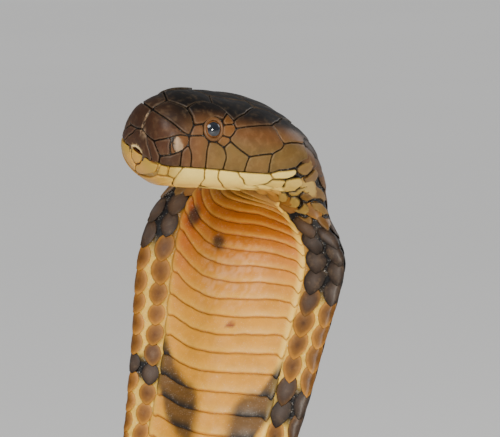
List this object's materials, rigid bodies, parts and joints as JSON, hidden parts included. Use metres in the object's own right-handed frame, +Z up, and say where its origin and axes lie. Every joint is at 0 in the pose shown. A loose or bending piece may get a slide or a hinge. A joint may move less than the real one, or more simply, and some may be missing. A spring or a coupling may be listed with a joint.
{
  "type": "king cobra",
  "caption": "Life-size still model of a king cobra, reared up with its narrow hood spread and the rest of its body coiled loosely on the floor.",
  "frame": {"origin": "on the floor, under the middle of the whole animal's box", "axes": "+Z up; the hood's belly faces roughly -Y and the head points to -X and -Y; the coil's longer side lies along X"},
  "size_m": [0.57, 0.4888, 0.4275],
  "materials": {
    "head_scales": "smooth dry horn shields, satin",
    "lip_scales": "smooth dry cream scales, satin",
    "eye": "wet gloss",
    "body_scales": "smooth dry scales, satin"
  },
  "bodies": {
    "root": {"head": "head_scales", "lower_jaw": "lip_scales", "eye_left": "eye", "eye_right": "eye", "hood": "body_scales", "neck": "body_scales", "rise": "body_scales", "foot_bend": "body_scales", "coil_1": "body_scales", "coil_2": "body_scales", "coil_3": "body_scales", "coil_4": "body_scales", "coil_5": "body_scales", "coil_6": "body_scales", "coil_7": "body_scales", "coil_8": "body_scales", "coil_9": "body_scales", "coil_10": "body_scales", "tail_base": "body_scales", "tail_tip": "body_scales"}
  },
  "joints": []
}
